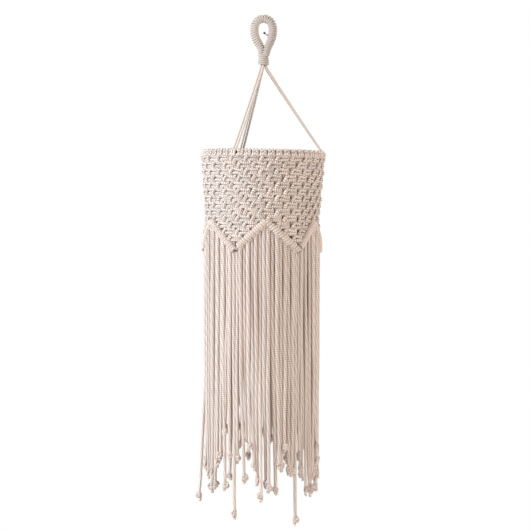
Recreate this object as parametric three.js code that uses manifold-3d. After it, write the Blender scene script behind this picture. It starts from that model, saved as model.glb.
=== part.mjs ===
// Hanging macrame sleeve planter: a wrapped hanging loop, three pairs of hanger cords, a steel hoop
// covered by lark's head knots, a tapering band of alternating square knots that ends in six points
// edged with double half hitches, and a long knotted fringe.
// Millimetres, +Z up. The origin is the inner crown of the hanging loop's eye, and the front is -Y.

import * as THREE from "three";
import { mergeVertices } from "three/addons/utils/BufferGeometryUtils.js";
import Module from "manifold-3d";

// ---------------------------------------------------------------- driving dimensions

const CORD = 4.8; // knotting and fringe cord diameter
const HANGER_CORD = 3.2; // hanger cord diameter
const GAP = 0.3; // clearance between pieces that touch

const LOOP_WRAP_RADIUS = 6.1;
const LOOP_CORE_RADIUS = 3.45; // three hanger cords laid together
const CORE_OFFSET = 2.4; // from the middle to each leg of the core inside the gathering wrap
const NECK_TOP = -47.3;
const NECK_BOTTOM = -64;
const NECK_RADIUS = 8.25;
const NECK_TURNS = 5; // turns of the gathering wrap
const NECK_GROOVE = 0.7; // depth of the grooves between them

const HANGER_ANGLES = [-4, 112.5, 241.5].map(THREE.MathUtils.degToRad); // one for each pair
const HANGER_TOP_RADIUS = 3.6; // where a pair leaves the gathering wrap
const HANGER_BEND_RADIUS = 6.4; // where it bends outwards, just below the wrap
const HANGER_BEND_DROP = 6;
const HANGER_SPREAD = 1.8; // from a pair's middle to each cord, at the top
const HANGER_FOOT_SPREAD = 2.3; // and at the hoop

const HOOP_Z = -194;
const HOOP_TILT = THREE.MathUtils.degToRad(0.8); // the hoop hangs a little low on its right side
const HOOP_RADIUS = 85.8;
const HOOP_WIRE_RADIUS = 1.5;
const HEAD_WIDTH = 6.5; // half width of the lark's head row, along the radius
const HEAD_HEIGHT = 5; // half height of the lark's head row

const ROWS = 10; // full rows of square knots
const ROW_PITCH = 9.7;
const FIRST_ROW_Z = -201.7;
const KNOTS_PER_ROW = 24;
const BAND_TOP_RADIUS = 89.7; // outside of the first row
const BAND_BOTTOM_RADIUS = 82.6; // outside of the last full row
const BAND_THICKNESS = 11;
const ROW_BEVEL = 2; // how far the edges of a row are cut back
const TUCKED = 2.4; // how much of the first row's top the lark's heads take up
const SCALLOP = 0.7; // how far a knot stands out from the gaps beside it

const POINTS = 6; // points of the band's zigzag edge
const FIRST_POINT_ANGLE = THREE.MathUtils.degToRad(-56);
const PEAK_Z = -293.2; // middle of the bars where two points meet
const POINT_Z = -335.3; // and at the lowest place of a point
const BAR_RADIUS = 4.7; // double half hitch bar
const BAR_RING_RADIUS = 83; // radius of the circle that the bars follow
const BAR_END = 4.2; // from each end of a bar to the peak or the point, round the band
const PANEL_GAP = 0.6; // between a point's knots and its bars
const PANEL_EDGE = 1.2; // height of a point's panel at its two ends

const FRINGE_RADIUS = 82.2; // radius of the circle that the strands hang on
const STRANDS_PER_SIDE = 7; // hitched strands on each side of a point
const STRAND_GROOVE = 1.5; // depth of the grooves between strands
const STRAND_GAP = 2.6; // between a bar and its free strands, across the bar
const FREE_TOP_Z = -310; // the fringe swings about a height just above this, where it hangs free
const LONG_ENDS = [-736, -692, -655, -680, -702, -725]; // lower ends of the long strands, by point
const LEFT_ENDS = [-664, -668, -632, -640, -655, -657]; // lower ends of each point's two bundles
const RIGHT_ENDS = [-674, -655, -630, -650, -662, -645];
const END_KNOT_RADIUS = 4.6;
const END_KNOT_HEIGHT = 4;
const TAIL = 6; // cord below an end knot
const KNOT_SHOULDER = 3.5; // over which the knot narrows to the cord, above and below

const COTTON = { color: 0xe6dacd, roughness: 0.95, metalness: 0 };
const STEEL = { color: 0x9a9a98, roughness: 0.35, metalness: 1 };

// ---------------------------------------------------------------- helpers

const part = new THREE.Group();
const ring = new THREE.Group(); // the tilted frame of the hoop, the band and the hitch bars
ring.position.z = HOOP_Z;
ring.rotation.y = HOOP_TILT;
part.add(ring);
part.updateMatrixWorld(true);

function addPart(parent, name, geometry, finish) {
  const mesh = new THREE.Mesh(geometry, new THREE.MeshStandardMaterial(finish));
  mesh.name = name;
  parent.add(mesh);
  return mesh;
}

// A solid bar along a path. An inner radius turns it into a tube with open ends. The section has twice
// as many sides as it has divisions.
function barAlong(points, radius, divisions, steps, innerRadius = 0) {
  const section = new THREE.Shape().absarc(0, 0, radius, 0, 2 * Math.PI, false);
  if (innerRadius > 0) {
    section.holes.push(new THREE.Path().absarc(0, 0, innerRadius, 0, 2 * Math.PI, true));
  }
  const path = new THREE.CatmullRomCurve3(points);
  const options = { steps, curveSegments: divisions, bevelEnabled: false, extrudePath: path };
  return new THREE.ExtrudeGeometry(section, options);
}

// A closed profile of [radius, height] pairs, counter-clockwise, turned about Z.
function turned(profile, segments, startAngle = 0) {
  const outline = profile.map(([radius, height]) => new THREE.Vector2(radius, height));
  const geometry = new THREE.LatheGeometry(outline, segments);
  geometry.rotateX(Math.PI / 2);
  geometry.rotateZ(startAngle + Math.PI / 2);
  return geometry;
}

// A box bent round the Z axis: every wall follows the functions of its arc length from the centre.
function bentPlate({ centreAngle, ringRadius, from, to, segments, topAt, bottomAt, innerAt, outerAt }) {
  const geometry = new THREE.BoxGeometry(1, 1, 1, segments, 1, 1);
  const corners = geometry.attributes.position;
  for (let i = 0; i < corners.count; i += 1) {
    const arc = THREE.MathUtils.lerp(from, to, corners.getX(i) + 0.5);
    const radius = corners.getY(i) > 0 ? innerAt(arc) : outerAt(arc);
    const height = corners.getZ(i) > 0 ? topAt(arc) : bottomAt(arc);
    const angle = centreAngle + arc / ringRadius;
    corners.setXYZ(i, radius * Math.cos(angle), radius * Math.sin(angle), height);
  }
  return geometry;
}

const wasm = await Module();
wasm.setup();

function toSolid(geometry) {
  const bare = geometry.clone();
  bare.deleteAttribute("normal");
  bare.deleteAttribute("uv");
  const merged = mergeVertices(bare, 1e-4);
  const vertProperties = new Float32Array(merged.attributes.position.array);
  const triVerts = new Uint32Array(merged.index.array);
  return new wasm.Manifold(new wasm.Mesh({ numProp: 3, vertProperties, triVerts }));
}

function toGeometry(solid) {
  const mesh = solid.getMesh();
  const geometry = new THREE.BufferGeometry();
  geometry.setAttribute("position", new THREE.BufferAttribute(new Float32Array(mesh.vertProperties), 3));
  geometry.setIndex(new THREE.BufferAttribute(new Uint32Array(mesh.triVerts), 1));
  return geometry.toNonIndexed();
}

// ---------------------------------------------------------------- hanging loop and gathering wrap

// Half of the eye's centre line, from the crown down one leg: [distance from the middle, height].
const EYE_CROWN = [[-0.6, 5.9], [0, 5.9]];
const EYE_HALF = [
  [6.9, 3.9],
  [12, -1.6],
  [13.7, -10],
  [12.9, -19],
  [10.6, -26.5],
  [7.6, -34],
  [4.7, -41],
];

function legPath(side) {
  const neck = [[CORE_OFFSET, NECK_TOP], [CORE_OFFSET, NECK_BOTTOM - 2]];
  return [...EYE_CROWN, ...EYE_HALF, ...neck].map(([x, z]) => new THREE.Vector3(side * x, 0, z));
}

// The two legs lie against each other below the eye, so each is cut back to its own side there, and
// both are cut level at the foot.
function bothLegs(foot, radius, innerRadius) {
  const block = 80; // larger than the eye, each way
  const trimTop = -30; // the legs meet below this height
  const below = toSolid(new THREE.BoxGeometry(block, block, block).translate(0, 0, foot - block / 2));
  const legs = [-1, 1].map((side) => {
    const leg = toSolid(barAlong(legPath(side), radius, 5, 20, innerRadius));
    const otherSide = new THREE.BoxGeometry(block, block, block);
    otherSide.translate((side * (GAP - block)) / 2, 0, trimTop - block / 2);
    return leg.subtract(toSolid(otherSide)).subtract(below);
  });
  return toGeometry(legs[0].add(legs[1]));
}

const loopWrap = bothLegs(NECK_TOP + GAP, LOOP_WRAP_RADIUS, LOOP_CORE_RADIUS + GAP);
addPart(part, "loop_wrap", loopWrap, COTTON);
addPart(part, "loop_core", bothLegs(NECK_BOTTOM + GAP, LOOP_CORE_RADIUS, 0), COTTON);

function neckProfile() {
  const inner = CORE_OFFSET + LOOP_CORE_RADIUS + 2 * GAP;
  const turn = (NECK_TOP - NECK_BOTTOM) / NECK_TURNS;
  const profile = [[inner, NECK_TOP], [inner, NECK_BOTTOM]];
  for (let i = 0; i < NECK_TURNS; i += 1) {
    const low = NECK_BOTTOM + i * turn;
    profile.push([NECK_RADIUS - NECK_GROOVE, low], [NECK_RADIUS, low + turn / 2]);
  }
  profile.push([NECK_RADIUS - NECK_GROOVE, NECK_TOP], [inner, NECK_TOP]);
  return profile;
}
addPart(part, "gathering_wrap", turned(neckProfile(), 24), COTTON);

// ---------------------------------------------------------------- hanger cords

// From the gathering wrap, out at a bend, and straight to the top of the lark's head row.
function hangerPath(angle, side) {
  const out = new THREE.Vector3(Math.cos(angle), Math.sin(angle), 0);
  const across = new THREE.Vector3(-Math.sin(angle), Math.cos(angle), 0).multiplyScalar(side);
  const place = (radius, spread, z) => {
    return new THREE.Vector3(0, 0, z).addScaledVector(out, radius).addScaledVector(across, spread);
  };
  const top = place(HANGER_TOP_RADIUS, HANGER_SPREAD, NECK_BOTTOM - GAP);
  const bend = place(HANGER_BEND_RADIUS, HANGER_SPREAD, NECK_BOTTOM - HANGER_BEND_DROP);
  const foot = ring.localToWorld(place(HOOP_RADIUS, HANGER_FOOT_SPREAD, HEAD_HEIGHT + 2 * GAP));
  return [top, bend, bend.clone().lerp(foot, 0.5), foot];
}

HANGER_ANGLES.forEach((angle, pair) => {
  [-1, 1].forEach((side, i) => {
    const name = `hanger_cord_${2 * pair + i + 1}`;
    addPart(part, name, barAlong(hangerPath(angle, side), HANGER_CORD / 2, 4, 14), COTTON);
  });
});

// ---------------------------------------------------------------- hoop and lark's head row

addPart(ring, "hoop", new THREE.TorusGeometry(HOOP_RADIUS, HOOP_WIRE_RADIUS, 6, 48), STEEL);

// The row's section is a C that closes round the wire and is open along a slit towards the middle.
function headProfile() {
  const slit = 0.5;
  const bore = HOOP_WIRE_RADIUS + 2 * GAP;
  const outside = [];
  const inside = [];
  const outerEnd = THREE.MathUtils.degToRad(174);
  const outerSteps = 8;
  for (let i = 0; i <= outerSteps; i += 1) {
    const turn = THREE.MathUtils.lerp(-outerEnd, outerEnd, i / outerSteps);
    outside.push([HOOP_RADIUS + HEAD_WIDTH * Math.cos(turn), HEAD_HEIGHT * Math.sin(turn)]);
  }
  const innerEnd = THREE.MathUtils.degToRad(150);
  const innerSteps = 5;
  for (let i = 0; i <= innerSteps; i += 1) {
    const turn = THREE.MathUtils.lerp(innerEnd, -innerEnd, i / innerSteps);
    inside.push([HOOP_RADIUS + bore * Math.cos(turn), bore * Math.sin(turn)]);
  }
  outside[0][1] = -slit;
  outside[outerSteps][1] = slit;
  return [...outside, ...inside, outside[0]];
}
addPart(ring, "larks_head_row", turned(headProfile(), 48), COTTON);

// ---------------------------------------------------------------- rows of square knots

const FIRST_PEAK_ANGLE = FIRST_POINT_ANGLE - Math.PI / POINTS;

function rowOuterRadius(row) {
  return THREE.MathUtils.lerp(BAND_TOP_RADIUS, BAND_BOTTOM_RADIUS, row / (ROWS - 1));
}

// Knots of neighbouring rows are staggered by half a knot, as the scallops show.
function knotRow(row) {
  const outer = rowOuterRadius(row);
  const inner = outer - BAND_THICKNESS;
  const half = (ROW_PITCH - GAP) / 2;
  const middle = FIRST_ROW_Z - HOOP_Z - row * ROW_PITCH;
  const top = middle + half - (row === 0 ? TUCKED : 0);
  const profile = [
    [inner, middle],
    [inner + ROW_BEVEL, middle - half],
    [outer - ROW_BEVEL, middle - half],
    [outer, middle],
    [outer - ROW_BEVEL, top],
    [inner + ROW_BEVEL, top],
    [inner, middle],
  ];
  const geometry = turned(profile, 2 * KNOTS_PER_ROW, FIRST_PEAK_ANGLE);
  const corners = geometry.attributes.position;
  for (let i = 0; i < corners.count; i += 1) {
    const x = corners.getX(i);
    const y = corners.getY(i);
    const step = Math.round((Math.atan2(y, x) - FIRST_PEAK_ANGLE) / (Math.PI / KNOTS_PER_ROW));
    const onKnot = Math.abs(step + row) % 2 === 0;
    const radius = Math.hypot(x, y);
    const scale = 1 + (onKnot ? 0 : -SCALLOP) / radius;
    corners.setXY(i, x * scale, y * scale);
  }
  return geometry;
}

for (let row = 0; row < ROWS; row += 1) {
  addPart(ring, `knot_row_${String(row + 1).padStart(2, "0")}`, knotRow(row), COTTON);
}

// ---------------------------------------------------------------- points and their hitch bars

const POINT_ARC = (Math.PI / POINTS) * BAR_RING_RADIUS; // from a point's centre to a peak
const BAR_SLOPE = (PEAK_Z - POINT_Z) / POINT_ARC;
const BAR_RISE = Math.hypot(1, BAR_SLOPE); // vertical size of one unit across the bar

function barHeight(arc) {
  return POINT_Z + Math.abs(arc) * BAR_SLOPE;
}

function pointAngle(point) {
  return FIRST_POINT_ANGLE + (point * 2 * Math.PI) / POINTS;
}

function pointPanel(point) {
  const top = FIRST_ROW_Z - (ROWS - 0.5) * ROW_PITCH - HOOP_Z;
  const lift = (BAR_RADIUS + GAP) * BAR_RISE + PANEL_GAP;
  const bottomAt = (arc) => barHeight(arc) + lift - HOOP_Z;
  const reach = (top - PANEL_EDGE - bottomAt(0)) / BAR_SLOPE;
  return bentPlate({
    centreAngle: pointAngle(point),
    ringRadius: BAR_RING_RADIUS,
    from: -reach,
    to: reach,
    segments: 12,
    topAt: () => top,
    bottomAt,
    innerAt: () => BAND_BOTTOM_RADIUS - BAND_THICKNESS,
    outerAt: () => BAND_BOTTOM_RADIUS,
  });
}

function hitchBar(point, side) {
  const points = [];
  const steps = 6;
  for (let i = 0; i <= steps; i += 1) {
    const arc = side * THREE.MathUtils.lerp(POINT_ARC - BAR_END, BAR_END, i / steps);
    const angle = pointAngle(point) + arc / BAR_RING_RADIUS;
    const x = BAR_RING_RADIUS * Math.cos(angle);
    const y = BAR_RING_RADIUS * Math.sin(angle);
    points.push(new THREE.Vector3(x, y, barHeight(arc) - HOOP_Z));
  }
  return barAlong(points, BAR_RADIUS, 4, 7);
}

// ---------------------------------------------------------------- fringe

// The fringe hangs plumb from the tilted band, so each point's strands shift with that point.
function hangShift(point) {
  const angle = pointAngle(point);
  const upright = new THREE.Vector3(
    FRINGE_RADIUS * Math.cos(angle),
    FRINGE_RADIUS * Math.sin(angle),
    POINT_Z - HOOP_Z,
  );
  const shift = ring.localToWorld(upright.clone()).sub(upright);
  shift.z -= HOOP_Z;
  return shift;
}

const STRAND_PITCH = (2 * Math.PI * FRINGE_RADIUS) / (POINTS * (2 * STRANDS_PER_SIDE + 2));
const FRINGE_DROP = (BAR_RADIUS + STRAND_GAP) * BAR_RISE; // from a bar's middle to its free strands
const BUNDLE_SIDE_GAP = 0.1; // between a bundle and its neighbour, in strands

// Strands side by side, with a groove between neighbours.
function strandBundle(point, from, strands, end) {
  const grooveAt = (arc) => {
    const step = Math.round((arc - from) / (STRAND_PITCH / 2));
    return step % 2 === 0 ? CORD / 2 - STRAND_GROOVE : CORD / 2;
  };
  return bentPlate({
    centreAngle: pointAngle(point),
    ringRadius: FRINGE_RADIUS,
    from,
    to: from + strands * STRAND_PITCH,
    segments: 2 * strands,
    topAt: (arc) => Math.min(barHeight(arc) - FRINGE_DROP, FREE_TOP_Z),
    bottomAt: () => end,
    innerAt: (arc) => FRINGE_RADIUS - grooveAt(arc),
    outerAt: (arc) => FRINGE_RADIUS + grooveAt(arc),
  });
}

// A single strand with its end knot and the short tail below the knot.
function longStrand(point, end) {
  const radius = CORD / 2;
  const top = POINT_Z - FRINGE_DROP;
  const knotBottom = end + TAIL + KNOT_SHOULDER;
  const knotTop = knotBottom + END_KNOT_HEIGHT;
  const profile = [
    [0, end],
    [radius, end],
    [radius, end + TAIL],
    [END_KNOT_RADIUS, knotBottom],
    [END_KNOT_RADIUS, knotTop],
    [radius, knotTop + KNOT_SHOULDER],
    [radius, top],
    [0, top],
  ];
  const angle = pointAngle(point) - STRAND_PITCH / 2 / FRINGE_RADIUS;
  const geometry = turned(profile, 8);
  return geometry.translate(FRINGE_RADIUS * Math.cos(angle), FRINGE_RADIUS * Math.sin(angle), 0);
}

for (let point = 0; point < POINTS; point += 1) {
  const label = point + 1;
  addPart(ring, `point_${label}`, pointPanel(point), COTTON);
  addPart(ring, `hitch_bar_${label}_left`, hitchBar(point, -1), COTTON);
  addPart(ring, `hitch_bar_${label}_right`, hitchBar(point, 1), COTTON);

  const fringe = new THREE.Group();
  fringe.position.copy(hangShift(point));
  part.add(fringe);
  const leftFrom = -(STRANDS_PER_SIDE + 1) * STRAND_PITCH;
  const leftStrands = STRANDS_PER_SIDE - BUNDLE_SIDE_GAP;
  const rightStrands = STRANDS_PER_SIDE + 1 - BUNDLE_SIDE_GAP;
  const left = strandBundle(point, leftFrom + GAP, leftStrands, LEFT_ENDS[point]);
  const right = strandBundle(point, GAP, rightStrands, RIGHT_ENDS[point]);
  addPart(fringe, `fringe_${label}_left`, left, COTTON);
  addPart(fringe, `fringe_${label}_right`, right, COTTON);
  addPart(fringe, `long_strand_${label}`, longStrand(point, LONG_ENDS[point]), COTTON);
}

export default part;
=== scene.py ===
"""Looks of a hanging macrame planter sleeve: a wrapped loop, three pairs of hanger cords, a hoop covered
in lark's heads, a band of alternating square knots that ends in six hitched points, and a fringe."""

import math

import bpy
import numpy as np
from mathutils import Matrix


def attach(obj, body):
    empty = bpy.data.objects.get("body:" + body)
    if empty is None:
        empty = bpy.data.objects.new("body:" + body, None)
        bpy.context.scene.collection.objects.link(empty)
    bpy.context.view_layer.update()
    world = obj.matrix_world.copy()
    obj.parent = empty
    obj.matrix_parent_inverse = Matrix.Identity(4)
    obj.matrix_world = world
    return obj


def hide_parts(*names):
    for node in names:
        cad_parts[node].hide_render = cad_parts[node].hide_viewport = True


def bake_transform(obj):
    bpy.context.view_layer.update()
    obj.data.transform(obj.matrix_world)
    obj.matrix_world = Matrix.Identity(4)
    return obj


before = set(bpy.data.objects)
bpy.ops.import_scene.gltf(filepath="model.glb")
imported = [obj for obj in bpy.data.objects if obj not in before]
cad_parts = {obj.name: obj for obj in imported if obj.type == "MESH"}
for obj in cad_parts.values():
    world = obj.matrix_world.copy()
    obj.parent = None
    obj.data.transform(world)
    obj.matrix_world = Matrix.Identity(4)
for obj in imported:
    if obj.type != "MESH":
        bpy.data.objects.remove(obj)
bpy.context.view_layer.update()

# Every length below is in millimetres until a mesh is built. Heights are in the row frame, whose origin
# is the inner crown of the loop's eye, or are named as heights over the hoop.
MM = 0.001
SEED = 11

# Hoop and band, as in the CAD
HOOP_Z = -194.0
HOOP_TILT = math.radians(0.8)
HOOP_RADIUS = 85.8
ROWS = 10
ROW_PITCH = 9.7
FIRST_ROW_Z = -201.7
KNOTS_PER_ROW = 24
POINTS = 6
POINT_ROWS = 3
FIRST_POINT_ANGLE = math.radians(-56)
POINT_Z = -335.3
BAR_SLOPE = 0.9687
BAR_RISE = math.hypot(1, BAR_SLOPE)
BAR_RING_RADIUS = 83
FRINGE_RADIUS = 82.2

# Cords: radius of each as it lies
FRINGE_TOP_RADIUS = 2.84  # crowded against its neighbours below the bars
FRINGE_CORD_RADIUS = 2.4  # hanging free
END_KNOT_CORD_RADIUS = 1.7  # pulled tight
KNOT_CORD_RADIUS = 2.45
HITCH_CORD_RADIUS = 2.1
HEAD_CORD_RADIUS = 2.45
HANGER_CORD_RADIUS = 1.6
WRAP_CORD_RADIUS = 1.7

HALF_PITCH = 10.95  # from one knot to its neighbour in the next row, along the band
HALF_PITCH_ANGLE = math.pi / KNOTS_PER_ROW
STRAND_ANGLE = HALF_PITCH_ANGLE / 2
FIRST_KNOT_ANGLE = FIRST_POINT_ANGLE - math.pi / POINTS


# ---------------------------------------------------------------- frames and curves


def ring_to_row(points):
    """Points of the tilted hoop's own frame, with heights over the hoop, taken to the row frame."""
    p = np.asarray(points, float)
    c, s = math.cos(HOOP_TILT), math.sin(HOOP_TILT)
    return np.column_stack([p[:, 0] * c + p[:, 2] * s, p[:, 1], p[:, 2] * c - p[:, 0] * s + HOOP_Z])


# The points are tied by hand, so their peaks and tips aren't quite evenly spaced: angles round the band,
# and how far each is out of place, both in degrees
PLACED_AT = (-180, -146, -116, -86, -56, -26, 4)
OUT_OF_PLACE = (0, -3.8, -1.8, -0.3, 5.3, -1.1, 0)
EVEN_ABOVE = -20  # height over the hoop down to which the band is even
UNEVEN_BELOW = -80


def unevenness(height):
    """From 0 where the band is even to 1 where it's as uneven as its points."""
    return np.clip((EVEN_ABOVE - height) / (EVEN_ABOVE - UNEVEN_BELOW), 0, 1)


def out_of_place(angle):
    """How far the points are out of place at an angle round the band."""
    turn = (np.degrees(angle) + 180) % 360 - 180
    return np.radians(np.interp(turn, PLACED_AT, OUT_OF_PLACE))


def around(angle, radius, height):
    """Points at an angle, a radius and a height over the hoop, taken to the row frame."""
    angle, radius, height = np.broadcast_arrays(angle, radius, height)
    angle = angle + unevenness(height) * out_of_place(angle)
    return ring_to_row(np.column_stack([radius * np.cos(angle), radius * np.sin(angle), height]))


def fullness(angle, height, share):
    """How much fuller cords are where the band is stretched, and thinner where it's crowded. share is
    the part of the stretch that they follow."""
    near = math.radians(4)
    widening = (out_of_place(angle + near) - out_of_place(angle - near)) / (2 * near)
    return float(1 + share * unevenness(height) * widening)


def smooth(points, step, skip=(0, 0)):
    """A smooth curve through points, with a point about every step. skip leaves out that many stretches
    at the start and at the end, which then only give the curve its direction there."""
    p = np.asarray(points, float)
    gaps = np.linalg.norm(np.diff(p, axis=0), axis=1)
    t = np.concatenate([[0], np.cumsum(np.sqrt(gaps))])
    slope = np.gradient(p, t, axis=0)
    out = []
    last = len(gaps) - skip[1]
    for i in range(skip[0], last):
        span = t[i + 1] - t[i]
        count = max(1, round(gaps[i] / step))
        u = np.linspace(0, 1, count + 1)[: count + (i == last - 1), None]
        out.append(
            (2 * u**3 - 3 * u**2 + 1) * p[i]
            + (u**3 - 2 * u**2 + u) * span * slope[i]
            + (3 * u**2 - 2 * u**3) * p[i + 1]
            + (u**3 - u**2) * span * slope[i + 1]
        )
    return np.concatenate(out)


def directions_across(path):
    """Two directions across a path at each of its points, carried along it without a twist."""
    tangent = np.gradient(path, axis=0)
    tangent /= np.linalg.norm(tangent, axis=1)[:, None]
    side = np.cross(tangent[0], (0.31, 0.77, 0.55))  # with a direction that no cord starts in
    sideways = np.empty_like(path)
    for i, direction in enumerate(tangent):
        side = side - direction * (side @ direction)
        side = side / math.sqrt(side @ side)
        sideways[i] = side
    return sideways, np.cross(tangent, sideways)


class Cords:
    """Cords gathered into one mesh. The uv map holds the turn round each cord and the length along it,
    in cord diameters, and the tint attribute how light each cord is."""

    def __init__(self):
        self.points, self.quads, self.uvs, self.caps, self.tints = [], [], [], [], []
        self.count = 0

    def add(self, path, radius, sides=10, tint=0.5):
        """A round cord along a path. radius and tint are one number each, or one for each point."""
        path = np.asarray(path, float)
        n = len(path)
        radius = np.broadcast_to(np.asarray(radius, float), (n,))
        sideways, other = directions_across(path)
        turn = np.linspace(0, 1, sides, endpoint=False)
        c, s = np.cos(2 * np.pi * turn), np.sin(2 * np.pi * turn)
        rings = path[:, None] + radius[:, None, None] * (
            sideways[:, None] * c[None, :, None] + other[:, None] * s[None, :, None]
        )
        self.points.append(rings.reshape(-1, 3))
        i, j = np.meshgrid(np.arange(n - 1), np.arange(sides), indexing="ij")
        k = (j + 1) % sides
        quads = np.stack([i * sides + j, i * sides + k, (i + 1) * sides + k, (i + 1) * sides + j], -1)
        self.quads.append(quads.reshape(-1, 4) + self.count)
        along = np.concatenate([[0], np.cumsum(np.linalg.norm(np.diff(path, axis=0), axis=1))])
        along = along / (2 * float(radius.mean()))
        u0, u1 = j / sides, (j + 1) / sides
        v0, v1 = along[i], along[i + 1]
        self.uvs.append(np.stack([u0, v0, u1, v0, u1, v1, u0, v1], -1).reshape(-1, 8))
        self.caps.append((np.arange(sides)[::-1] + self.count, sides, along[0]))
        self.caps.append((np.arange(sides) + self.count + (n - 1) * sides, sides, along[-1]))
        self.tints.append(np.repeat(np.broadcast_to(tint, (n,)), sides))
        self.count += n * sides

    def build(self, name, material):
        """One object that holds all the cords, with flat ends."""
        points = np.concatenate(self.points) * MM
        quads = np.concatenate(self.quads)
        cap_loops = np.concatenate([c[0] for c in self.caps])
        cap_sizes = np.array([c[1] for c in self.caps])
        cap_uv = np.concatenate([np.tile((0.5, c[2]), c[1]) for c in self.caps])
        loops = np.concatenate([quads.ravel(), cap_loops])
        sizes = np.concatenate([np.full(len(quads), 4), cap_sizes])
        starts = np.concatenate([[0], np.cumsum(sizes)[:-1]])
        mesh = bpy.data.meshes.new(name)
        mesh.vertices.add(len(points))
        mesh.vertices.foreach_set("co", points.astype(np.float32).ravel())
        mesh.loops.add(len(loops))
        mesh.loops.foreach_set("vertex_index", loops.astype(np.int32))
        mesh.polygons.add(len(sizes))
        mesh.polygons.foreach_set("loop_start", starts.astype(np.int32))
        mesh.polygons.foreach_set("loop_total", sizes.astype(np.int32))
        mesh.update(calc_edges=True)
        uv = mesh.uv_layers.new(name="cord")
        corners = np.concatenate([np.concatenate(self.uvs).ravel(), cap_uv])
        uv.data.foreach_set("uv", corners.astype(np.float32))
        tint = mesh.attributes.new("tint", "FLOAT", "POINT")
        tint.data.foreach_set("value", np.concatenate(self.tints).astype(np.float32))
        mesh.polygons.foreach_set("use_smooth", np.ones(len(sizes), bool))
        mesh.materials.append(material)
        mesh.validate()
        piece = bpy.data.objects.new(name, mesh)
        bpy.context.scene.collection.objects.link(piece)
        return piece


# ---------------------------------------------------------------- camera


def add_camera():
    """Level with the middle of the sleeve and far off, so the view is nearly parallel."""
    data = bpy.data.cameras.new("camera")
    data.sensor_width = 36
    distance, height_in_view = 4.9, 0.7794
    right_of_loop, middle_height = 0.0029, -0.3566
    data.lens = data.sensor_width * distance / height_in_view
    camera = bpy.data.objects.new("camera", data)
    camera.location = (right_of_loop, -distance, middle_height)
    camera.rotation_euler = (math.radians(90), 0, 0)
    bpy.context.scene.collection.objects.link(camera)
    bpy.context.scene.camera = camera


# ---------------------------------------------------------------- materials


class Nodes:
    """Short names for the shader nodes of one material."""

    def __init__(self, name):
        self.material = bpy.data.materials.new(name)
        self.material.use_nodes = True
        self.tree = self.material.node_tree
        self.shader = self.tree.nodes["Principled BSDF"]

    def node(self, kind, **settings):
        """A new node of a kind, with its settings."""
        made = self.tree.nodes.new(kind)
        for key, value in settings.items():
            setattr(made, key, value)
        return made

    def put(self, socket, value):
        """Links a socket to the one given, or sets it to the value given."""
        if isinstance(value, bpy.types.NodeSocket):
            self.tree.links.new(value, socket)
        else:
            socket.default_value = value

    def calculate(self, operation, a, b=0.0, c=0.0):
        """The result of one math node."""
        made = self.node("ShaderNodeMath", operation=operation)
        for socket, value in zip(made.inputs, (a, b, c)):
            self.put(socket, value)
        return made.outputs[0]

    def mix(self, factor, a, b, blend="MIX"):
        """Two colours mixed, from the first at a factor of 0 to the second at 1."""
        made = self.node("ShaderNodeMix", data_type="RGBA", blend_type=blend)
        self.put(made.inputs[0], factor)
        self.put(made.inputs[6], a)
        self.put(made.inputs[7], b)
        return made.outputs[2]


def braid(n, columns, stitch, lean, twist):
    """How high a braided cord's surface stands, from 0 in its grooves to 1: columns of slanted stitches.
    Lengths along the cord are in diameters; twist is how often the columns turn round it in one."""
    uv = n.node("ShaderNodeUVMap", uv_map="cord")
    split = n.node("ShaderNodeSeparateXYZ")
    n.put(split.inputs[0], uv.outputs[0])
    along = split.outputs[1]
    turn = n.calculate("MULTIPLY_ADD", along, twist, split.outputs[0])
    zigzag = n.calculate("PINGPONG", n.calculate("MULTIPLY", turn, columns), 1.0)
    slanted = n.calculate("MULTIPLY_ADD", zigzag, lean, n.calculate("DIVIDE", along, stitch))
    wave = n.calculate("SINE", n.calculate("MULTIPLY", slanted, 2 * math.pi))
    stitches = n.calculate("MULTIPLY_ADD", wave, 0.5, 0.5)
    column = n.calculate("SINE", n.calculate("MULTIPLY", turn, columns * math.pi))
    ridge = n.calculate("SQRT", n.calculate("ABSOLUTE", column))
    raised = n.calculate("MULTIPLY_ADD", stitches, 0.9, 0.1)
    return n.calculate("MULTIPLY", raised, ridge)


def noise(n, where, scale, detail):
    """Noise through the piece, scale times to the metre."""
    made = n.node("ShaderNodeTexNoise", noise_dimensions="3D")
    n.put(made.inputs["Vector"], where.outputs["Object"])
    made.inputs["Scale"].default_value = scale
    made.inputs["Detail"].default_value = detail
    return made.outputs[0]


# Shades of a piece's cords: of the darkest cord, and how far cords, patches and fibres differ
TINT_DARKEST = 0.83
TINT_RANGE = 0.18
PATCH_RANGE = 0.12
FIBRE_RANGE = 0.10


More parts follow.
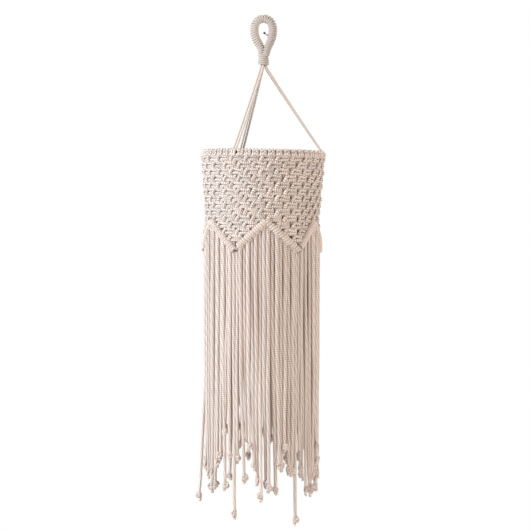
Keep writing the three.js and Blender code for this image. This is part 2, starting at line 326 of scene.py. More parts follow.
def braided_cotton(name, light, groove_shade, depth, columns=4, stitch=0.55, lean=0.5, twist=0.0):
    """Braided cotton cord with painted shade in the grooves between its stitches, uneven patches and
    loose fibres.
    """
    n = Nodes(name)
    height = braid(n, columns, stitch, lean, twist)
    where = n.node("ShaderNodeTexCoord")
    fibres = noise(n, where, 1600, 3)
    patches = noise(n, where, 60, 2)

    tint = n.node("ShaderNodeAttribute", attribute_name="tint")
    shade = n.calculate("MULTIPLY_ADD", tint.outputs["Fac"], TINT_RANGE, TINT_DARKEST)
    for kind, span in ((patches, PATCH_RANGE), (fibres, FIBRE_RANGE)):
        shade = n.calculate("MULTIPLY_ADD", kind, span, n.calculate("SUBTRACT", shade, span / 2))
    # Painted shade: the groove colour darkens the cord where its surface sinks between stitches and
    # columns
    colour = n.mix(height, (*groove_shade, 1), (*light, 1))
    colour = n.mix(1.0, colour, shade, blend="MULTIPLY")
    n.put(n.shader.inputs["Base Color"], colour)

    bump = n.node("ShaderNodeBump")
    bump.inputs["Strength"].default_value = 0.8
    bump.inputs["Distance"].default_value = depth
    n.put(bump.inputs["Height"], n.calculate("MULTIPLY_ADD", fibres, 0.3, height))
    n.put(n.shader.inputs["Normal"], bump.outputs[0])
    n.shader.inputs["Roughness"].default_value = 0.86
    n.shader.inputs["Specular IOR Level"].default_value = 0.25
    n.shader.inputs["Sheen Weight"].default_value = 0.1
    n.shader.inputs["Sheen Roughness"].default_value = 0.6
    return n.material


def brushed_steel(name):
    """Drawn steel wire with faint lines and a little tarnish."""
    n = Nodes(name)
    where = n.node("ShaderNodeTexCoord")
    stretch = n.node("ShaderNodeMapping")
    stretch.inputs["Scale"].default_value = (200, 200, 4000)
    n.put(stretch.inputs["Vector"], where.outputs["Object"])
    lines = n.node("ShaderNodeTexNoise")
    n.put(lines.inputs["Vector"], stretch.outputs[0])
    lines.inputs["Scale"].default_value = 1
    colour = n.mix(lines.outputs[0], (0.34, 0.33, 0.31, 1), (0.62, 0.61, 0.59, 1))
    n.put(n.shader.inputs["Base Color"], colour)
    n.put(n.shader.inputs["Roughness"], n.calculate("MULTIPLY_ADD", lines.outputs[0], 0.25, 0.25))
    n.shader.inputs["Metallic"].default_value = 1.0
    return n.material


def sealed_tip(name):
    """The scorched, melted end of a cord: near black, lumpy and slightly glossy."""
    n = Nodes(name)
    where = n.node("ShaderNodeTexCoord")
    lumps = n.node("ShaderNodeTexNoise")
    n.put(lumps.inputs["Vector"], where.outputs["Object"])
    lumps.inputs["Scale"].default_value = 900
    colour = n.mix(lumps.outputs[0], (0.004, 0.003, 0.002, 1), (0.03, 0.018, 0.010, 1))
    n.put(n.shader.inputs["Base Color"], colour)
    bump = n.node("ShaderNodeBump")
    bump.inputs["Distance"].default_value = 0.0003
    n.put(bump.inputs["Height"], lumps.outputs[0])
    n.put(n.shader.inputs["Normal"], bump.outputs[0])
    n.shader.inputs["Roughness"].default_value = 0.5
    return n.material


# Colours of the stitches, and painted shade for the grooves between them: in the knots, in the fringe,
# pulled tight in the bars, in the thin hanger cords, and in the loop's wrap, which is darker all over
# with painted shade
COTTON_LIGHT = (1.0, 0.955, 0.905)
COTTON_GROOVE_SHADE = (0.44, 0.31, 0.235)
FRINGE_LIGHT = (0.99, 0.92, 0.86)
FRINGE_GROOVE_SHADE = (0.43, 0.30, 0.23)
TIGHT_LIGHT = (0.79, 0.71, 0.65)
TIGHT_GROOVE_SHADE = (0.52, 0.40, 0.33)
THIN_LIGHT = (0.86, 0.80, 0.755)
THIN_GROOVE_SHADE = (0.57, 0.47, 0.40)
WRAP_SHADED_STITCHES = (0.63, 0.56, 0.51)
WRAP_GROOVE_SHADE = (0.40, 0.33, 0.29)
cotton = braided_cotton("braided_cotton", COTTON_LIGHT, COTTON_GROOVE_SHADE, depth=0.0012)
fringe_cotton = braided_cotton(
    "fringe_cotton", FRINGE_LIGHT, FRINGE_GROOVE_SHADE, depth=0.0008, lean=0.75, twist=0.07
)
tight_cotton = braided_cotton("tight_cotton", TIGHT_LIGHT, TIGHT_GROOVE_SHADE, depth=0.0003)
thin_cotton = braided_cotton("thin_cotton", THIN_LIGHT, THIN_GROOVE_SHADE, depth=0.0003, columns=6)
# A darker copy of the cotton: painted shade all over the loop and the gathering wrap
shaded_wrap_cotton = braided_cotton("shaded_wrap_cotton", WRAP_SHADED_STITCHES, WRAP_GROOVE_SHADE, depth=0.0002, columns=6)


# ---------------------------------------------------------------- hanging loop

NECK_TOP = -47.3
NECK_BOTTOM = -64.0
NECK_TURNS = 5
NECK_RADIUS = 8.25
# The loop's centre line from its crown down each leg: distance from the middle, depth, and height. The
# right leg laps in front of the left one.
LEFT_LEG = [
    (0, 0, 5.9), (-6.9, 0, 3.9), (-12, 0, -1.6), (-13.6, 0, -10), (-12.6, 0, -19),
    (-9.9, 0.3, -26.5), (-5.3, 1.4, -34), (-2.7, 1.8, -41), (-2.8, 1.8, -50),
]
RIGHT_LEG = [
    (0, 0, 5.9), (6.9, 0, 3.9), (12, 0, -1.6), (13.8, 0, -10), (13.0, 0, -19),
    (11.0, -0.3, -26.5), (7.5, -1.4, -34), (5.0, -1.8, -41), (3.1, -1.8, -50),
]
LOOP_SHIFT = (0.7, 0, 0)  # the loop hangs a little right of the hoop's middle
LOOP_PITCH = 3.25  # from one turn of its wrap to the next
CORE_CORD_RADIUS = 1.5
CORE_END = -48  # height where the core disappears into the gathering wrap


def wound(centre, wind_radius, pitch, steps_per_turn=18, lean=0.0):
    """A cord wound round a centre line. wind_radius holds the radius at each of its points, and lean
    slants the turns."""
    along = np.concatenate([[0], np.cumsum(np.linalg.norm(np.diff(centre, axis=0), axis=1))])
    count = round(along[-1] / pitch * steps_per_turn)
    s = np.linspace(0, along[-1], count)
    angle = 2 * np.pi * s / pitch
    slanted = np.clip(s + lean * np.sin(angle), 0, along[-1])
    middle = np.column_stack([np.interp(slanted, along, centre[:, k]) for k in range(3)])
    tangent = np.gradient(centre, axis=0)
    tangent /= np.linalg.norm(tangent, axis=1)[:, None]
    t = np.column_stack([np.interp(slanted, along, tangent[:, k]) for k in range(3)])
    depth = np.array([0, -1.0, 0])
    sideways = np.cross(t, depth)
    sideways /= np.linalg.norm(sideways, axis=1)[:, None]
    r = np.interp(slanted, along, wind_radius)[:, None]
    return middle + r * (np.sin(angle)[:, None] * sideways + np.cos(angle)[:, None] * depth)


def make_loop():
    """The eye: a cord wound closely over the bent core."""
    centre = np.concatenate([smooth(LEFT_LEG, 1.0)[::-1], smooth(RIGHT_LEG, 1.0)[1:]])
    outer = np.interp(centre[:, 2], (-46, -30, -12, 8), (5.6, 6.4, 6.6, 6.4))
    rng = np.random.default_rng(SEED)
    path = wound(centre, outer - WRAP_CORD_RADIUS, LOOP_PITCH, lean=0.6)
    path = path + rng.normal(0, 0.05, path.shape)
    wrap = Cords()
    # Painted light and shade: the wrap is lighter on the left, where the key light falls, and darker on
    # the right, which the left leg shades
    painted_light_from_left = np.interp(path[:, 0], (-12, 8), (1.2, 0.3))
    wrap.add(path + LOOP_SHIFT, WRAP_CORD_RADIUS, 10, painted_light_from_left)
    core = centre[centre[:, 2] > CORE_END]
    for dx, dy in ((1.5, 0.9), (-1.5, 0.9), (0, -1.7)):
        wrap.add(core + np.array([dx, dy, 0]) + LOOP_SHIFT, CORE_CORD_RADIUS, 8, 0.3)
    piece = wrap.build("wrapped_loop", shaded_wrap_cotton)
    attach(piece, "hanging_loop")
    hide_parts("loop_wrap", "loop_core")


def make_neck():
    """Five tight turns that gather the loop's legs and the hanger cords."""
    cord = (NECK_TOP - NECK_BOTTOM) / NECK_TURNS / 2 - 0.05
    lap, slant, start_angle = 1.5, 0.35, 2.2
    s = np.linspace(0, 1, NECK_TURNS * 20)
    angle = 2 * np.pi * NECK_TURNS * s + start_angle
    bulge = np.interp(s, (0, 0.15, 0.45, 0.7, 0.9, 1), (-1.0, -0.9, -0.5, 0.1, 0.2, -1.5))
    r = NECK_RADIUS - cord + bulge
    drop = NECK_TOP - NECK_BOTTOM + lap - 2 * cord
    z = NECK_TOP - cord + lap - s * drop + slant * np.sin(angle)
    neck = Cords()
    turns = np.column_stack([r * np.cos(angle), r * np.sin(angle), z])
    neck.add(turns + LOOP_SHIFT, cord, 12, 0.6)
    plug = [(0, 0, NECK_TOP + lap), (0, 0, NECK_BOTTOM + lap)]
    neck.add(smooth(plug, 3), NECK_RADIUS - 2.4 * cord, 10, 0.2)
    piece = neck.build("gathering_wrap_cord", shaded_wrap_cotton)
    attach(piece, "hanging_loop")
    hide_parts("gathering_wrap")


# The tail's route, and the sealed end's outline: distance past the tail's last point, and radius
TAIL_ROUTE = [
    (9.0, 3.5, -18.8), (6.8, 1.5, -18.6), (4.8, -0.5, -17.8), (3.0, -1.8, -16.4), (2.2, -2.3, -15.8),
]
SEALED_END = np.array([(-1.0, 1.35), (-0.4, 1.6), (0.3, 1.75), (1.0, 1.6), (1.6, 1.1), (1.9, 0.5)])


def make_wrap_tail():
    """The wrap cord's cut end, sealed black, which sticks out of the right leg into the eye."""
    route = smooth(TAIL_ROUTE, 0.8)
    tail = Cords()
    tail.add(route, np.linspace(1.5, 1.25, len(route)), 10, 0.8)
    piece = tail.build("wrap_cord_tail", thin_cotton)
    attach(piece, "hanging_loop")
    tip = Cords()
    end = route[-1] - route[-2]
    end /= np.linalg.norm(end)
    tip.add(route[-1] + SEALED_END[:, :1] * end, SEALED_END[:, 1], 10, 0.5)
    dark = tip.build("wrap_cord_sealed_end", sealed_tip("sealed_cord_end"))
    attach(dark, "hanging_loop")


# ---------------------------------------------------------------- hanger cords

# Each pair's place round the hoop, and how far it is turned where it leaves the wrap
HANGER_ANGLES = [math.radians(a) for a in (-4, 112.5, 241.5)]
HANGER_TWISTS = [math.radians(a) for a in (70, 0, 0)]
HANGER_TOP_RADIUS = 3.6  # where a pair leaves the gathering wrap
HANGER_BEND_RADIUS = 6.4  # where it bends outwards
HANGER_BEND_DROP = 6
HANGER_SPREAD = 1.8  # from a pair's middle to each cord
HANGER_FOOT_SPREAD = 2.3  # and at the hoop
HANGER_FOOT_HEIGHT = 5.6
HANGER_TUCK = 3.5  # how far each goes up inside the wrap
HANGER_SAG = 1.2


def hanger_route(angle, twist, side):
    """From inside the gathering wrap, out at a bend, and straight to the top of the hoop."""
    out = np.array([math.cos(angle), math.sin(angle), 0])
    along = np.array([-math.sin(angle), math.cos(angle), 0])
    apart = (along * math.cos(twist) + np.array([0, 0, math.sin(twist)])) * HANGER_SPREAD * side
    top = out * HANGER_TOP_RADIUS + apart + (0, 0, NECK_BOTTOM - 0.3)
    bend = out * HANGER_BEND_RADIUS + apart + (0, 0, NECK_BOTTOM - HANGER_BEND_DROP)
    foot = out * HOOP_RADIUS + along * HANGER_FOOT_SPREAD * side
    foot = ring_to_row([(foot[0], foot[1], HANGER_FOOT_HEIGHT)])[0]
    return top, bend, foot


def make_hangers():
    """Six taut cords from the gathering wrap to the hoop."""
    number = 0
    for angle, twist in zip(HANGER_ANGLES, HANGER_TWISTS):
        for side in (-1, 1):
            number += 1
            top, bend, foot = hanger_route(angle, twist, side)
            inside = top + (0, 0, HANGER_TUCK)
            straight = [bend + (foot - bend) * k for k in (0.06, 0.2, 0.4, 0.6, 0.8, 0.94)]
            path = smooth([inside, top, bend, *straight, foot], 3)
            path[:, 2] -= HANGER_SAG * np.sin(np.pi * np.linspace(0, 1, len(path)))
            cord = Cords()
            cord.add(path, HANGER_CORD_RADIUS, 10, 0.75 if side < 0 else 0.55)
            piece = cord.build(f"hanger_cord_{number}_braid", thin_cotton)
            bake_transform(piece)
            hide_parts(f"hanger_cord_{number}")


# ---------------------------------------------------------------- hoop row

# How far a lark's head next to a hanger pair is pushed aside, and over what angle that fades
CROWDING = math.radians(1.35)
CROWDING_REACH = math.radians(9)


def crowd(angle):
    """Lark's heads near a hanger pair are pushed aside, because the pair is tied between two of them."""
    shift = 0.0
    for tie in HANGER_ANGLES:
        off = (angle - tie + math.pi) % (2 * math.pi) - math.pi
        shift += math.copysign(CROWDING, off) * math.exp(-abs(off) / CROWDING_REACH)
    return shift


def band_point(knot_angle, knot_height, local):
    """Points given as along the band, out of it and up from a knot's middle, taken to the row frame."""
    p = np.asarray(local, float)
    height = knot_height + p[:, 2]
    angle = knot_angle + p[:, 0] / HALF_PITCH * HALF_PITCH_ANGLE
    return around(angle, band_radius(height) + p[:, 1], height)


def row_height(row):
    """Height of a row of knots over the hoop."""
    return FIRST_ROW_Z - HOOP_Z - ROW_PITCH * row


def band_radius(height):
    """Radius of the knots' middle at a height over the hoop. The band draws in, then flares to the
    bars."""
    rows = (ROWS + 3, ROWS + 2, ROWS - 1, 0, -0.5)
    return np.interp(height, [row_height(row) for row in rows], (80.5, 79.8, 76.7, 83.5, 83.9))


def make_larks_heads():
    """Each working cord is folded over the hoop: two strands up the front and round the back, and a bar
    across."""
    rng = np.random.default_rng(SEED + 1)
    heads = Cords()
    low = row_height(-0.5)
    end = 0.19 * HALF_PITCH
    for number in range(2 * KNOTS_PER_ROW):
        angle = FIRST_KNOT_ANGLE + HALF_PITCH_ANGLE * (number - 0.5)
        off = band_radius(low) - HOOP_RADIUS
        half = [
            (-end - 0.3, off, low - 3.5), (-end, off + 0.6, low - 1.2), (-2.5, 1.4, -1.0),
            (-2.4, 2.6, 1.0), (-2.4, 2.2, 2.7), (-2.6, 0, 3.6), (-3.1, -2.8, 2.4), (-3.6, -3.6, 0),
            (-4.0, -2.8, -2.6), (-4.2, 0.4, -4.0), (-3.7, 2.9, -3.6), (-2.2, 3.9, -2.6),
        ]
        route = np.array(half + [(0, 4.2, -2.3)] + [(-x, y, z) for x, y, z in half[::-1]])
        route[:, 2] += rng.normal(0, 0.15)
        route[2:-2, 1] += rng.normal(0, 0.15)
        shift = crowd(angle) * np.clip((route[:, 2] + 5) / 5, 0, 1)
        angles = angle + shift + route[:, 0] / HOOP_RADIUS
        curve = around(angles, HOOP_RADIUS + route[:, 1], route[:, 2])
        heads.add(smooth(curve, 1.4, skip=(1, 1)), HEAD_CORD_RADIUS, 10, rng.uniform(0.3, 0.8))
    piece = heads.build("larks_heads", cotton)
    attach(piece, "ring")
    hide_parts("larks_head_row")


def make_hanger_ties():
    """Each hanger pair goes over the hoop between two lark's heads and is turned once round the wire."""
    height = HANGER_FOOT_HEIGHT
    ties = Cords()
    for angle in HANGER_ANGLES:
        for side in (-1, 1):
            start = HANGER_FOOT_SPREAD * side
            around_wire = [
                (start, -0.6, height + 3), (start, 0.4, height), (start * 0.9, 3.2, 4.0),
                (start * 0.8, 5.0, 1.4), (start * 0.75, 5.2, -2.0), (start * 0.7, 3.0, -4.6),
                (start * 0.7, -1.5, -4.8), (start * 0.7, -4.4, -1.5), (start * 0.7, -4.2, 2.4),
            ]
            p = np.array(around_wire)
            curve = around(angle + p[:, 0] / HOOP_RADIUS, HOOP_RADIUS + p[:, 1], p[:, 2])
            ties.add(smooth(curve, 1.2, skip=(1, 0)), HANGER_CORD_RADIUS, 10, 0.7)
    piece = ties.build("hanger_ties", thin_cotton)
    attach(piece, "ring")


# ---------------------------------------------------------------- square knots

OUTER_EDGE = 0.77 * HALF_PITCH  # where a knot's outer cords cross into the next row
INNER_EDGE = 0.23 * HALF_PITCH  # and its fillers
EDGE = ROW_PITCH / 2

# Each cord's route through a knot, as along the band, out of it, and up
FRONT_CORD = [
    (-8.4, 1.0, 3.7), (-5.6, 2.6, 3.2), (-3.0, 3.6, 2.9), (0, 4.1, 2.5), (3.8, 3.6, 2.35),
    (7.4, 2.5, 2.2), (9.3, 1.4, 0.2), (7.2, 2.5, -2.0), (3.8, 3.6, -2.35), (0, 4.1, -2.5),
    (-3.0, 3.6, -2.9), (-5.6, 2.4, -3.4), (-7.8, 1.2, -4.0),
]
BACK_CORD = [
    (7.9, 2.6, 4.0), (7.6, 1.2, 2.2), (5.0, -2.4, 1.4), (0, -4.1, 1.8), (-4.6, -3.0, 2.8),
    (-5.4, -0.4, 4.3), (-5.3, 3.0, 4.6), (-6.2, 5.1, 2.7), (-7.7, 5.8, 0), (-8.9, 5.1, -2.7),
    (-9.2, 3.0, -4.5), (-7.6, -0.4, -4.3), (-4.6, -3.0, -2.8), (0, -4.1, -1.8), (5.0, -2.4, -1.4),
    (7.6, 1.2, -2.2), (7.9, 2.6, -4.0),
]
FILLER_OFFSET = 2.3
FILLER_CORD = [(FILLER_OFFSET, 0, 2.6), (FILLER_OFFSET, 0, -2.6)]


def knot_cords():
    """The four cords of a square knot. Each has one point beyond each edge, which only gives it its
    direction."""

    def neighbour(place, side, level):
        return (side * HALF_PITCH + place[0], place[1], level * ROW_PITCH + place[2])

    front_in = [neighbour((FILLER_OFFSET, 0, -2.5), -1, 1), (-OUTER_EDGE, 0.3, EDGE)]
    front_out = [(-OUTER_EDGE, 0.3, -EDGE), neighbour((FILLER_OFFSET, 0, 2.5), -1, -1)]
    back_in = [neighbour((-FILLER_OFFSET, 0, -2.5), 1, 1), (OUTER_EDGE, 0.5, EDGE)]
    back_out = [(OUTER_EDGE, 0.5, -EDGE), neighbour((-FILLER_OFFSET, 0, 2.5), 1, -1)]
    left_in = [neighbour(BACK_CORD[-1], -1, 1), (-INNER_EDGE, 0.5, EDGE)]
    left_out = [(-INNER_EDGE, 0.5, -EDGE), neighbour(BACK_CORD[0], -1, -1)]
    right_in = [neighbour(FRONT_CORD[-1], 1, 1), (INNER_EDGE, 0.3, EDGE)]
    right_out = [(INNER_EDGE, 0.3, -EDGE), neighbour(FRONT_CORD[0], 1, -1)]
    return [
        front_in + FRONT_CORD + front_out,
        back_in + BACK_CORD + back_out,
        left_in + [(-x, y, z) for x, y, z in FILLER_CORD] + left_out,
        right_in + FILLER_CORD + right_out,
    ]


def add_knot(cords, angle, row, rng):
    """One square knot, tied by hand: its middle, slant and fullness vary a little."""
    move = np.array([rng.normal(0, 0.45), rng.normal(0, 0.25), rng.normal(0, 0.35)])
    slant = math.radians(rng.normal(3, 5))
    full = rng.normal(1, 0.06)
    radius = KNOT_CORD_RADIUS * fullness(angle, row_height(row), 0.7)
    for route in knot_cords():
        p = np.array(route, float)
        inner = np.clip(1 - (p[:, 2] / EDGE) ** 2, 0, 1)[:, None]
        turned = np.column_stack([
            p[:, 0] * math.cos(slant) + p[:, 2] * math.sin(slant),
            p[:, 1] * full,
            p[:, 2] * math.cos(slant) - p[:, 0] * math.sin(slant),
        ]) + move
        p = p * (1 - inner) + turned * inner
        curve = smooth(band_point(angle, row_height(row), p), 1.3, skip=(1, 1))
        cords.add(curve, radius, 10, rng.uniform(0.15, 0.95))


def make_band():
    """Ten rows of alternating square knots."""
    rng = np.random.default_rng(SEED + 2)
    for row in range(ROWS):
        cords = Cords()
        for knot in range(KNOTS_PER_ROW):
            add_knot(cords, FIRST_KNOT_ANGLE + HALF_PITCH_ANGLE * (2 * knot + row % 2), row, rng)
        piece = cords.build(f"square_knots_{row + 1:02d}", cotton)
        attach(piece, "ring")
        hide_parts(f"knot_row_{row + 1:02d}")


def make_points():
    """Rows of three, two and one knots below the last full row make each point."""
    rng = np.random.default_rng(SEED + 3)
    for point in range(POINTS):
        middle = FIRST_POINT_ANGLE + point * 2 * math.pi / POINTS
        cords = Cords()
        for row in range(POINT_ROWS):
            knots = POINT_ROWS - row
            for k in range(knots):
                add_knot(cords, middle + HALF_PITCH_ANGLE * (2 * k - knots + 1), ROWS + row, rng)
        piece = cords.build(f"point_knots_{point + 1}", cotton)
        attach(piece, "ring")
        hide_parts(f"point_{point + 1}")


# ---------------------------------------------------------------- hitch bars

FILLER_RADIUS = 2.15
BAR_STANDS_OUT = 1.0
HITCHES = 7
HITCH_GAP = 1.85  # from a hitch's middle to each of its two turns
HITCH_BITE = 1.0  # how far a hitch presses into its filler
STRAND_ARC = BAR_RING_RADIUS * STRAND_ANGLE


def bar_height(arc):
    """Height of a bar's middle over the hoop, at a distance along the band from the point."""
    return POINT_Z - HOOP_Z + abs(arc) * BAR_SLOPE


def bar_point(middle, side, arc, local):
    """Points given along a bar towards its low end, up across it and out of it, taken to the row
    frame."""
    p = np.asarray(local, float)
    distance = arc - (p[:, 0] + BAR_SLOPE * p[:, 1]) / BAR_RISE
    height = bar_height(arc) + (p[:, 1] - BAR_SLOPE * p[:, 0]) / BAR_RISE
    angle = middle + side * distance / BAR_RING_RADIUS
    return around(angle, BAR_RING_RADIUS + BAR_STANDS_OUT + p[:, 2], height)


def hitch(middle, side, arc, link):
    """A double half hitch: behind the filler, twice up its front and over, and out below between the
    turns."""
    gap = HITCH_GAP
    wind = FILLER_RADIUS + HITCH_CORD_RADIUS - HITCH_BITE
    turns = np.radians(np.arange(-45, -901, -45.0))
    along = np.interp(
        -np.degrees(turns),
        (45, 180, 270, 360, 540, 630, 720, 900),
        (-0.6, -gap, -gap, -gap + 0.3, gap - 0.3, gap, gap + 0.2, 0.2),
    )
    local = np.column_stack([along, wind * np.cos(turns), wind * np.sin(turns)])
    below = bar_point(middle, side, arc, [(0.2, -wind, -1.2)])[0] + (0, 0, -3)
    return smooth([*link, *bar_point(middle, side, arc, local), below], 1.4)


def leaves_band(middle, side, k):
    """The last stretch of a cord in the band's knots, above the hitch that ties it on to a bar."""
    row = ROWS - 1 + min(k + 1, HITCHES) // 2
    angle = middle + side * STRAND_ANGLE * max(HITCHES - 0.5 - k, 0.5)
    height = row_height(row) - EDGE
    start = around(angle, band_radius(height + 3) + 0.5, height + 3)[0]
    edge = around(angle, band_radius(height) + 0.6, height)[0]
    return [start, edge]


def filler_route(middle, side):
    """A filler's way out of the last full row at the peak, and down below the hitches to the point."""
    last_row = row_height(ROWS - 1)
    peak = middle + side * STRAND_ANGLE * (HITCHES + 0.3)
    start = around(peak, band_radius(last_row), last_row - 3)
    arcs = np.linspace(BAR_RING_RADIUS * math.pi / POINTS - 0.5, 0.8, 24)
    bar = around(middle + side * arcs / BAR_RING_RADIUS, BAR_RING_RADIUS, bar_height(arcs))
    return smooth([start[0], *bar], 2)


def make_hitch_bars():
    """Two slanted fillers edge each point, and each carries seven cords tied on with double half
    hitches. The left one carries the right one's filler too."""
    rng = np.random.default_rng(SEED + 4)
    for point in range(POINTS):
        middle = FIRST_POINT_ANGLE + point * 2 * math.pi / POINTS
        for side, word in ((-1, "left"), (1, "right")):
            cords = Cords()
            carried = HITCHES + 1 if side < 0 else HITCHES
            for k in range(carried):
                arc = STRAND_ARC * (HITCHES + 0.5 - k)
                curve = hitch(middle, side, arc, leaves_band(middle, side, k))
                curve = curve + rng.normal(0, 0.05, 3)
                cords.add(curve, HITCH_CORD_RADIUS, 10, rng.uniform(0.5, 1.0))
            cords.add(filler_route(middle, side), FILLER_RADIUS, 10, 0.7)
            piece = cords.build(f"hitches_{point + 1}_{word}", tight_cotton)
            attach(piece, "ring")
            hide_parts(f"hitch_bar_{point + 1}_{word}")


# ---------------------------------------------------------------- fringe

# Height of each strand's end knot, from the strand nearest the point's middle outwards. The first on the
# left of each point is its long strand.
LEFT_ENDS = [
    [-726, -655, -653, -620, -647, -643, -682, -679],
    [-682, -650, -662, -645, -668, -640, -655, -660],
    [-645, -610, -632, -600, -640, -622, -590, -618],
    [-670, -597, -560, -622, -595, -640, -575, -630],
    [-694, -632, -652, -625, -660, -640, -612, -600],
    [-717, -632, -598, -676, -632, -643, -676, -678],
]
RIGHT_ENDS = [
    [-632, -652, -662, -683, -680, -686, -682, -620],
    [-643, -640, -655, -628, -648, -618, -635, -642],
    [-630, -602, -625, -590, -615, -640, -605, -632],
    [-566, -598, -632, -570, -610, -640, -590, -620],
    [-652, -640, -648, -662, -672, -680, -655, -662],
    [-636, -664, -605, -618, -646, -668, -690, -672],
]
# How far each strand's lower end hangs out of line, counter-clockwise round the band, for the two front
# points. The others' strands hang out of line by chance.
LEFT_DRIFTS = {
    0: [1.5, 0.5, 1.5, -1.5, 1.9, 3.9, 6, 1],
    5: [0, -3, -5, 1, -1, -3, -6, -4],
}
RIGHT_DRIFTS = {
    0: [1, 1, 2, 1, 3, 4.5, 6, 12],
    5: [-2, 4.5, 2, 1.5, 2.5, 2, 1.5, 3],
}
SPREAD_STRAND = 4  # the point whose long strand swings out, and how far
SPREAD = 11
DECLARED = (3, 6)  # strands of each side that are free cords of their own, besides the long ones
BELOW_BAR = 4.2  # from a bar's middle down to where its strands start
# Two heights, as up across a bar from its middle, at which the fringe works out points on the bar;
# nothing uses those points
SWING_FROM = -5
SWING_FULL = -50
DRIFT_EASE = 2.3  # higher keeps a strand's drift to its lower part
WAVER = 0.45
DEPTH_WAVER = 0.5
# A strand's radius at shares of its length
THINNING_AT = (0, 0.55, 0.95)
THINNING = (FRINGE_TOP_RADIUS, FRINGE_TOP_RADIUS, FRINGE_CORD_RADIUS)


def end_knot(rng):
    """An overhand knot's route, down from the strand: across, up and out. A trefoil, opened where it is
    widest."""
    size, depth = rng.uniform(1.15, 1.35), rng.uniform(2.0, 2.4)
    t = np.linspace(0.4, 2 * np.pi - 0.4, 22)
    r = 2 + np.cos(3 * t)
    route = np.column_stack([r * np.cos(2 * t) * size, -r * np.sin(2 * t) * size, np.sin(3 * t) * depth])
    route[:, 0] -= 1.3 * size
    tip = (rng.normal(0, 1), -rng.uniform(5.6, 7) * size, rng.normal(0, 1))
    tail = [(1.2 * size, -1.8 * size, -0.6 * depth), (0.9 * size, -4.6 * size, 0), tip]
    return np.concatenate([[(0, 5.2 * size, 0.3)], route, tail])


def hanging_line(top, end, drift, along, out, rng):
    """A strand's centre line from its top down to its end knot, wavering and drifting as it goes."""
    drop = top[2] - end
    s = np.linspace(0, 1, max(12, round(drop / 18)))
    phase, wave = rng.uniform(0, 2 * np.pi, 2), rng.uniform(2.2, 4.5)
    held_at_top = np.minimum(1, s * 6)
    waver = WAVER * np.sin(wave * np.pi * s + phase[0]) * held_at_top
    depth_waver = DEPTH_WAVER * np.sin(wave * 0.8 * np.pi * s + phase[1]) * held_at_top
    ease = s**DRIFT_EASE
    sideways = drift[0] * ease + waver
    outwards = drift[1] * ease + depth_waver
    line = top - (0, 0, 1) * (drop * s)[:, None]
    return line + along * sideways[:, None] + out * outwards[:, None]


def strand_route(top, end, drift, rng):
    """The path and radius of a strand that hangs from its top to its end knot. drift is how far its
    lower end hangs out of line, sideways and outwards."""
    out = np.array([top[0], top[1], 0]) / math.hypot(top[0], top[1])
    along = np.array([-out[1], out[0], 0])
    line = hanging_line(top, end, drift, along, out, rng)
    knot = end_knot(rng)
    spin = rng.uniform(0, 2 * np.pi)
    first = along * math.cos(spin) + out * math.sin(spin)
    second = out * math.cos(spin) - along * math.sin(spin)
    body = line[-1] + knot[:, :1] * first + knot[:, 2:] * second + knot[:, 1:2] * np.array([0, 0, 1])
    hanging = smooth(np.concatenate([line[:-1], body[:1]]), 5)
    knotted = smooth(body, 1.5)
    count = len(hanging) - 1
    radius = np.full(count + len(knotted), FRINGE_CORD_RADIUS)
    radius[:count] = np.interp(np.linspace(0, 1, count), THINNING_AT, THINNING)
    radius[count + 3 : -3] = END_KNOT_CORD_RADIUS
    return np.concatenate([hanging[:-1], knotted]), radius


def make_fringe_side(point, side, word, ends, drifts, rng):
    """The eight strands below one of a point's bars. Some are free cords of their own, and the others
    are one piece."""
    middle = FIRST_POINT_ANGLE + point * 2 * math.pi / POINTS
    together = Cords()
    arc = STRAND_ARC * 4
    start = bar_point(middle, side, arc, [(0, SWING_FROM, 0)])[0]
    finish = bar_point(middle, side, arc, [(0, SWING_FULL, 0)])[0]
    for k, end in enumerate(ends):
        angle = middle + side * STRAND_ANGLE * (k + 0.5)
        height = bar_height(STRAND_ARC * (k + 0.5)) - BELOW_BAR
        layer = 1.2 if k % 2 else -1.2
        top = around(angle, FRINGE_RADIUS - 0.4 + layer, height)[0]
        long = side < 0 and k == 0
        sideways = drifts[k] if drifts else rng.normal(0, 2.4)
        outwards = SPREAD if long and point == SPREAD_STRAND else rng.normal(-1.0, 2.0)
        path, radius = strand_route(top, end, (sideways, outwards), rng)
        radius = radius * fullness(angle, height, 0.9)
        if not long and k not in DECLARED:
            together.add(path, radius, 8, rng.uniform(0.2, 0.9))
            continue
        one = Cords()
        one.add(path, radius, 8, rng.uniform(0.4, 0.9))
        name = f"fringe_strand_{point + 1}_{word}_{k + 1}"
        if long:
            name = f"long_fringe_strand_{point + 1}"
        piece = one.build(name, fringe_cotton)
        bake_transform(piece)
        if long:
            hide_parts(f"long_strand_{point + 1}")
    piece = together.build(f"fringe_strands_{point + 1}_{word}", fringe_cotton)
    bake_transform(piece)
    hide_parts(f"fringe_{point + 1}_{word}")


def make_fringe():
    """Sixteen strands below each point. They follow the band where they leave the bars and hang out of
    line below that."""
    rng = np.random.default_rng(SEED + 5)
    for point in range(POINTS):
        make_fringe_side(point, -1, "left", LEFT_ENDS[point], LEFT_DRIFTS.get(point), rng)
        make_fringe_side(point, 1, "right", RIGHT_ENDS[point], RIGHT_DRIFTS.get(point), rng)


# ---------------------------------------------------------------- room

# Lengths here are in metres
FLOOR_RADIUS = 4.5
FLOOR_Z = -1.25
FLOOR_DARKER = (0.86, 0.855, 0.85, 1)
FLOOR_LIGHTER = (0.9, 0.895, 0.89, 1)
SURROUND_LIGHT = (1, 0.91, 0.85, 1)
SURROUND_STRENGTH = 0.79
LIGHTS_AIM = (0, 0, -0.36)  # the middle of the sleeve


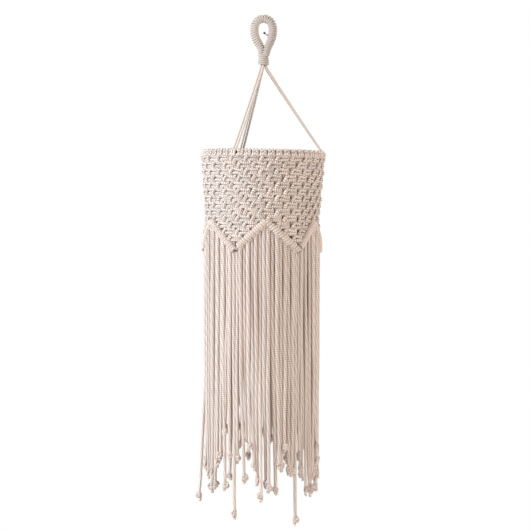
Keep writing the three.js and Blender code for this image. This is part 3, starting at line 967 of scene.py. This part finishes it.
def add_light(name, place, aim, size, power, colour):
    """A soft round lamp that points from its place to its aim."""
    data = bpy.data.lights.new(name, "AREA")
    data.shape = "DISK"
    data.size = size
    data.energy = power
    data.color = colour
    lamp = bpy.data.objects.new(name, data)
    lamp.location = place
    direction = np.array(aim) - np.array(place)
    lamp.rotation_euler = (
        math.atan2(math.hypot(direction[0], direction[1]), -direction[2]),
        0,
        math.atan2(direction[0], -direction[1]) + math.pi,
    )
    bpy.context.scene.collection.objects.link(lamp)


def make_floor():
    """A pale, faintly mottled floor well below the sleeve."""
    bpy.ops.mesh.primitive_circle_add(
        vertices=96, radius=FLOOR_RADIUS, fill_type="NGON", location=(0, 0, FLOOR_Z)
    )
    floor = bpy.context.object
    floor.name = "floor"
    n = Nodes("pale_floor")
    where = n.node("ShaderNodeTexCoord")
    mottle = n.node("ShaderNodeTexNoise")
    n.put(mottle.inputs["Vector"], where.outputs["Object"])
    mottle.inputs["Scale"].default_value = 3
    n.put(n.shader.inputs["Base Color"], n.mix(mottle.outputs[0], FLOOR_DARKER, FLOOR_LIGHTER))
    n.shader.inputs["Roughness"].default_value = 0.9
    floor.data.materials.append(n.material)


def make_surround():
    """A surround that lights the sleeve softly and warmly, and looks white."""
    world = bpy.data.worlds.new("surround")
    world.use_nodes = True
    tree = world.node_tree
    soft = tree.nodes["Background"]
    soft.inputs["Color"].default_value = SURROUND_LIGHT
    soft.inputs["Strength"].default_value = SURROUND_STRENGTH
    seen = tree.nodes.new("ShaderNodeBackground")
    seen.inputs["Color"].default_value = (1, 1, 1, 1)
    seen.inputs["Strength"].default_value = 1.0
    rays = tree.nodes.new("ShaderNodeLightPath")
    pick = tree.nodes.new("ShaderNodeMixShader")
    tree.links.new(rays.outputs["Is Camera Ray"], pick.inputs[0])
    tree.links.new(soft.outputs[0], pick.inputs[1])
    tree.links.new(seen.outputs[0], pick.inputs[2])
    tree.links.new(pick.outputs[0], tree.nodes["World Output"].inputs[0])
    bpy.context.scene.world = world


def make_room():
    """The floor, the surround, a soft key from the left and a weak fill from the right."""
    make_floor()
    make_surround()
    add_light("key", (-2.9, -1.1, 0.8), LIGHTS_AIM, size=0.6, power=104, colour=(0.87, 1.02, 1.17))
    add_light("fill", (2.6, -2.4, 0.5), LIGHTS_AIM, size=1.6, power=43, colour=(1, 0.96, 0.91))
    view = bpy.context.scene.view_settings
    view.view_transform = "Standard"
    view.look = "None"


add_camera()
make_hangers()
make_fringe()
make_loop()
make_neck()
make_wrap_tail()
make_larks_heads()
make_hanger_ties()
make_band()
make_points()
make_hitch_bars()
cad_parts["hoop"].data.materials.clear()
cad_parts["hoop"].data.materials.append(brushed_steel("hoop_steel_wire"))
make_room()
